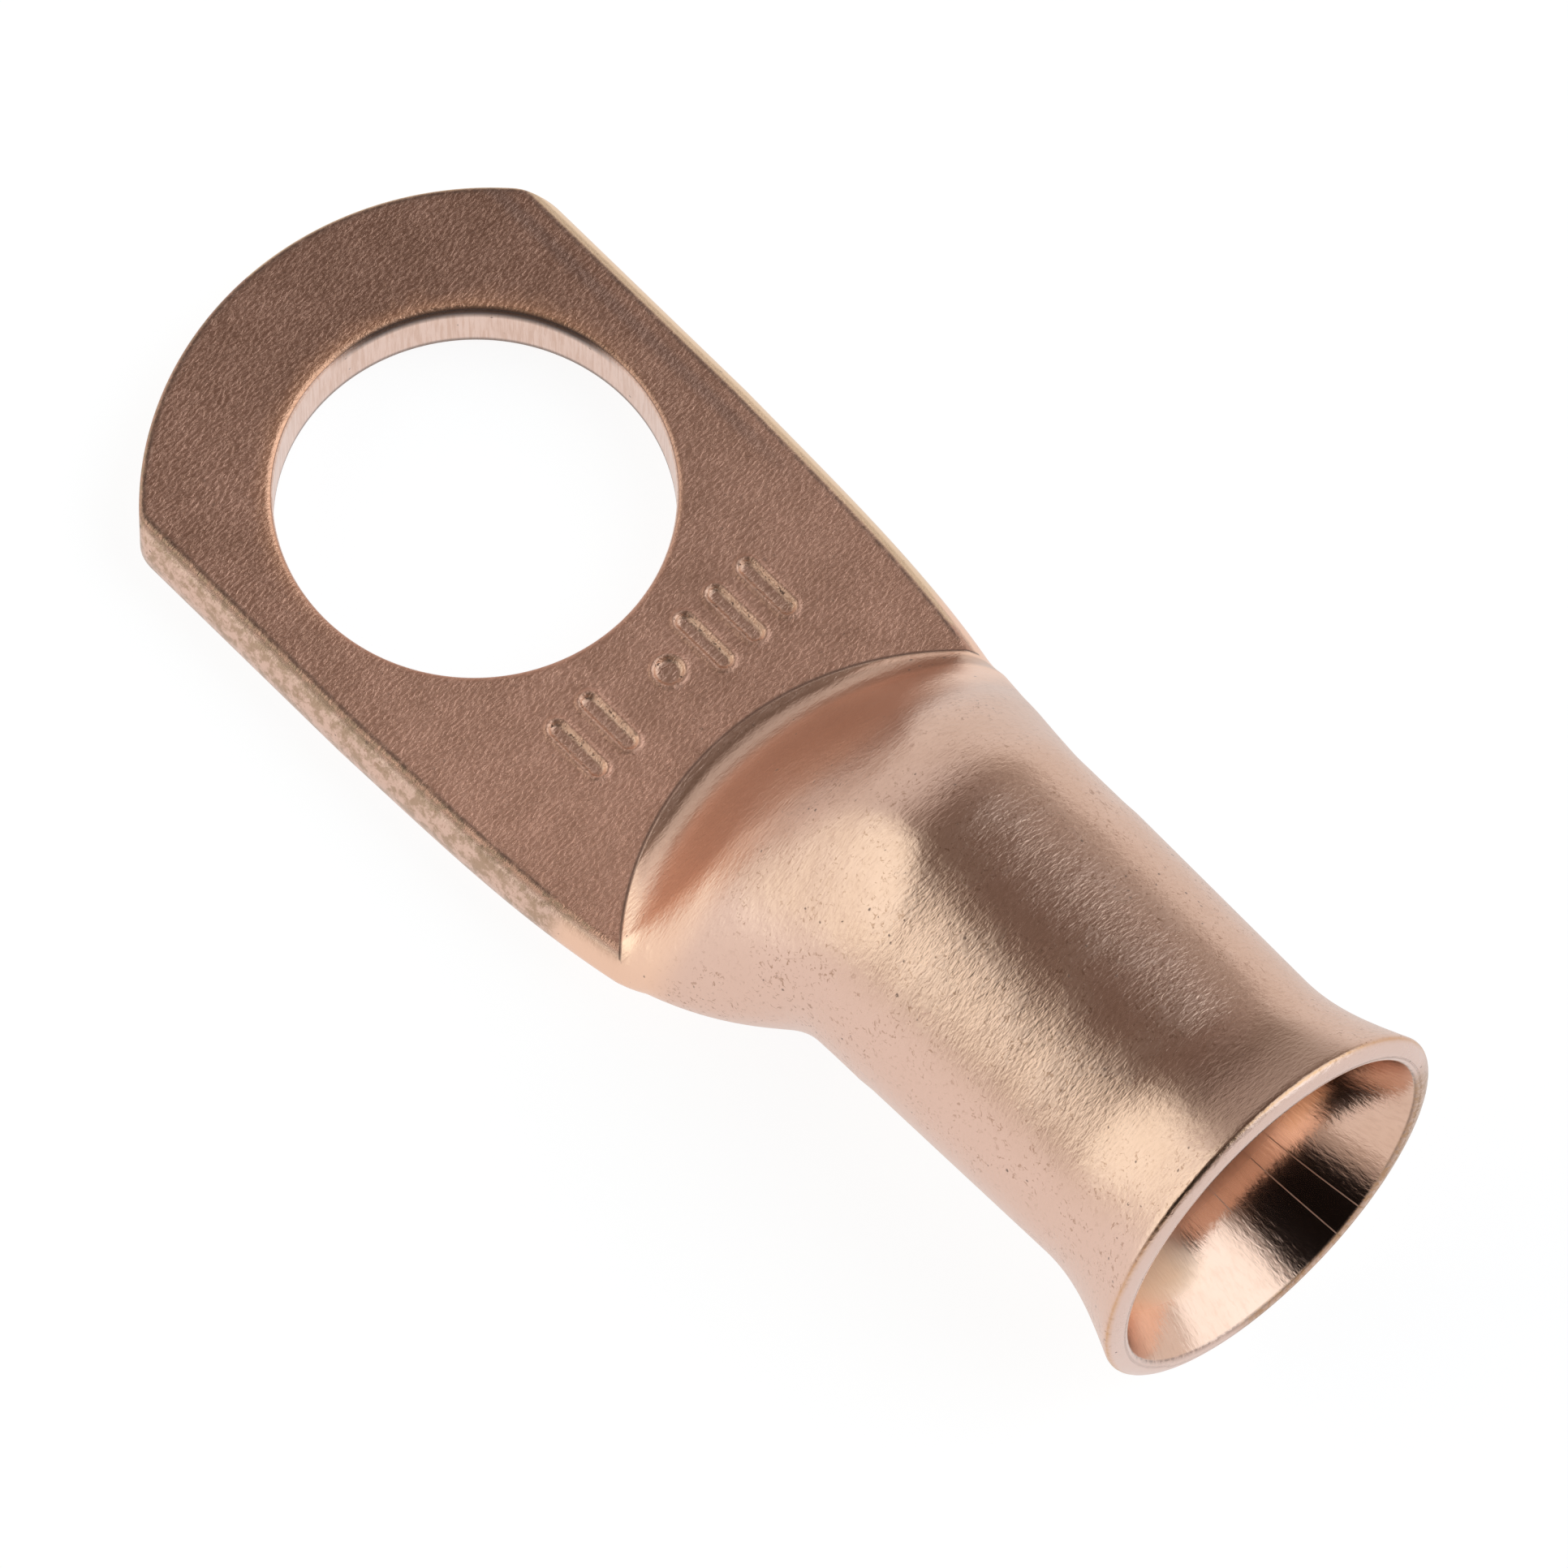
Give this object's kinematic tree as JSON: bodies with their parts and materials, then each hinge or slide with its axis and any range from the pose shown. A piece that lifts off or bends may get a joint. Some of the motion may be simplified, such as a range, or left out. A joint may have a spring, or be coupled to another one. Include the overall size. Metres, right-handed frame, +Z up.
{
  "type": "copper cable lug",
  "caption": "Copper tube cable lug: a flat palm with a stud hole, stepping up over a curved shoulder into a round crimp barrel with a flared mouth.",
  "frame": {"origin": "centre of the stud hole, on the underside of the palm", "axes": "+X along the barrel towards its flared mouth, +Z up along the stud hole's axis from the palm's underside, +Y completes the frame and points to the lug's left when looking towards the mouth"},
  "size_m": [0.031, 0.0116, 0.0091],
  "materials": {
    "copper": "satin"
  },
  "bodies": {
    "root": {"lug": "copper"}
  },
  "joints": []
}
